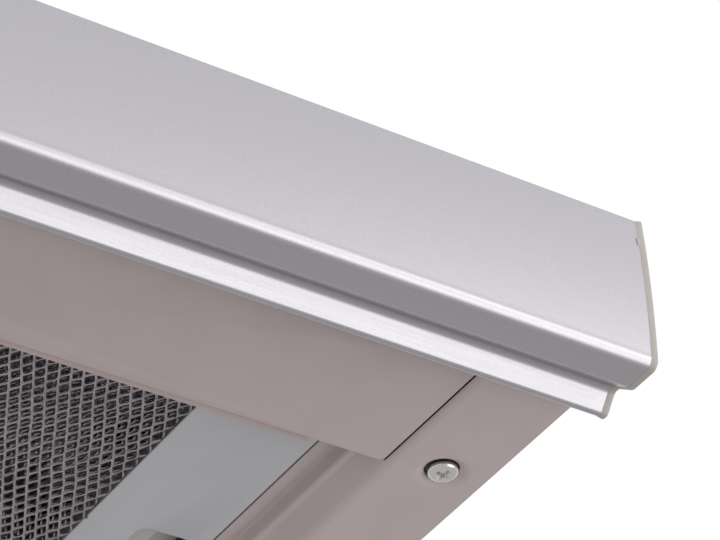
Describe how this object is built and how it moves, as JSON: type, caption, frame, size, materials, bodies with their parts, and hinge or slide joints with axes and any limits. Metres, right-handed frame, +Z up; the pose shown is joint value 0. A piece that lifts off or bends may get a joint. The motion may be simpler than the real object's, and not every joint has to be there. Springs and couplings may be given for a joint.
{
  "type": "pull-out range hood",
  "caption": "Pull-out range hood for a wall cabinet: tray with handle strip, drop-down grease filters, blower housing and duct collar with damper flaps",
  "frame": {"origin": "at the wall, in the middle of the width, on the plane of the underside flanges", "axes": "+X to the hood's right seen from the front, +Y back to the wall, +Z up; the tray pulls out along -Y"},
  "size_m": [0.597, 0.2903, 0.241],
  "materials": {
    "greige_paint": "smooth satin powder coat, warm grey",
    "greige_plastic": "fine moulded matt, pale warm grey",
    "strip_aluminium": "satin anodised, fine lengthwise grain",
    "galvanised_steel": "galvanised sheet",
    "runner_zinc": "bright zinc plate",
    "screw_zinc": "bright zinc plate",
    "filter_sheet": "satin rolled sheet",
    "filter_mesh": "expanded mesh, bright strands",
    "latch_dark": "moulded matt, dark",
    "latch_grey": "moulded matt, grey",
    "spring_steel": "plain spring strip",
    "scroll_plastic": "moulded matt, dark grey",
    "wheel_plastic": "moulded matt, grey",
    "turned_steel": "turned rod",
    "motor_steel": "plain steel can",
    "collar_plastic": "moulded matt, near black",
    "box_plastic": "moulded matt, near black",
    "pale_plastic": "moulded matt, off white",
    "plunger_plastic": "moulded, dull red",
    "lamp_white": "moulded matt, pale grey",
    "lens_clear": "frosted lens",
    "bezel_plastic": "moulded matt, mid grey",
    "knob_plastic": "moulded matt, dark grey"
  },
  "bodies": {
    "frame": {"base_frame": "galvanised_steel", "rear_cross_member": "greige_paint", "flange_screws": "screw_zinc", "housing_shell": "galvanised_steel", "housing_top": "galvanised_steel", "housing_screws": "screw_zinc", "motor": "motor_steel", "motor_bracket": "motor_steel", "outlet_collar": "collar_plastic", "damper_pins": "turned_steel", "terminal_box": "box_plastic", "terminal_cover": "box_plastic", "terminal_block": "pale_plastic", "cable_gland": "box_plastic", "capacitor": "pale_plastic", "micro_switch": "box_plastic", "side_flange_left": "greige_paint", "side_flange_right": "greige_paint", "runner_outer_left": "runner_zinc", "runner_outer_right": "runner_zinc", "scroll_left": "scroll_plastic", "scroll_right": "scroll_plastic"},
    "tray": {"front_strip": "strip_aluminium", "strip_screws": "screw_zinc", "front_panel": "greige_paint", "panel_rail": "greige_paint", "tray_rear_bar": "galvanised_steel", "tray_cover": "galvanised_steel", "tray_divider": "galvanised_steel", "switch_block": "pale_plastic", "switch_bezel": "bezel_plastic", "end_cap_left": "greige_plastic", "end_cap_right": "greige_plastic", "tray_side_left": "galvanised_steel", "tray_side_right": "galvanised_steel", "runner_inner_left": "runner_zinc", "runner_inner_right": "runner_zinc", "lamp_housing_left": "lamp_white", "lamp_housing_right": "lamp_white", "lamp_lens_left": "lens_clear", "lamp_lens_right": "lens_clear"},
    "runner_left": {"runner_middle_left": "runner_zinc"},
    "runner_right": {"runner_middle_right": "runner_zinc"},
    "filter_left": {"filter_frame_left": "filter_sheet", "filter_mesh_left": "filter_mesh", "latch_guide_left": "latch_dark", "latch_spring_left": "spring_steel"},
    "filter_right": {"filter_frame_right": "filter_sheet", "filter_mesh_right": "filter_mesh", "latch_guide_right": "latch_dark", "latch_spring_right": "spring_steel"},
    "latch_left": {"latch_slider_left": "latch_grey"},
    "latch_right": {"latch_slider_right": "latch_grey"},
    "fan": {"impeller": "wheel_plastic", "fan_shaft": "turned_steel"},
    "flap_front": {"damper_flap_front": "collar_plastic"},
    "flap_rear": {"damper_flap_rear": "collar_plastic"},
    "plunger": {"switch_plunger": "plunger_plastic"},
    "fan_switch": {"fan_slider": "knob_plastic"},
    "light_switch": {"light_slider": "knob_plastic"}
  },
  "joints": [
    {"name": "tray_slide", "type": "slide", "parent": "frame", "child": "tray", "axis": [0, -1, 0], "range_m": [0, 0.18]},
    {"name": "runner_left_slide", "type": "slide", "parent": "frame", "child": "runner_left", "axis": [0, -1, 0], "range_m": [0, 0.09]},
    {"name": "runner_right_slide", "type": "slide", "parent": "frame", "child": "runner_right", "axis": [0, -1, 0], "range_m": [0, 0.09]},
    {"name": "filter_right_hinge", "type": "hinge", "parent": "tray", "child": "filter_right", "pos_m": [0.004, -0.1273, 0.0095], "axis": [0, 1, 0], "range_deg": [0, 70]},
    {"name": "filter_left_hinge", "type": "hinge", "parent": "tray", "child": "filter_left", "pos_m": [-0.004, -0.1273, 0.0095], "axis": [0, -1, 0], "range_deg": [0, 70]},
    {"name": "latch_right_slide", "type": "slide", "parent": "filter_right", "child": "latch_right", "axis": [-1, 0, 0], "range_m": [0, 0.0035], "stiffness_N_per_m": 400, "springref_m": -0.002, "deforming": ["latch_spring_right"]},
    {"name": "latch_left_slide", "type": "slide", "parent": "filter_left", "child": "latch_left", "axis": [1, 0, 0], "range_m": [0, 0.0035], "stiffness_N_per_m": 400, "springref_m": -0.002, "deforming": ["latch_spring_left"]},
    {"name": "fan_spin", "type": "hinge", "parent": "frame", "child": "fan", "pos_m": [0, -0.10949, 0.1053], "axis": [1, 0, 0], "continuous": true},
    {"name": "flap_front_hinge", "type": "hinge", "parent": "frame", "child": "flap_front", "pos_m": [0, -0.0687, 0.196], "axis": [-1, 0, 0], "range_deg": [0, 80]},
    {"name": "flap_rear_hinge", "type": "hinge", "parent": "frame", "child": "flap_rear", "pos_m": [0, -0.0623, 0.196], "axis": [1, 0, 0], "range_deg": [0, 80]},
    {"name": "plunger_slide", "type": "slide", "parent": "frame", "child": "plunger", "axis": [0, 1, 0], "range_m": [0, 0.002], "stiffness_N_per_m": 300, "springref_m": -0.001},
    {"name": "fan_switch_slide", "type": "slide", "parent": "tray", "child": "fan_switch", "axis": [1, 0, 0], "range_m": [0, 0.012]},
    {"name": "light_switch_slide", "type": "slide", "parent": "tray", "child": "light_switch", "axis": [1, 0, 0], "range_m": [0, 0.006]}
  ],
  "couplings": [
    {"joint": "runner_left_slide", "follows": "tray_slide", "ratio": 0.5},
    {"joint": "runner_right_slide", "follows": "tray_slide", "ratio": 0.5}
  ]
}
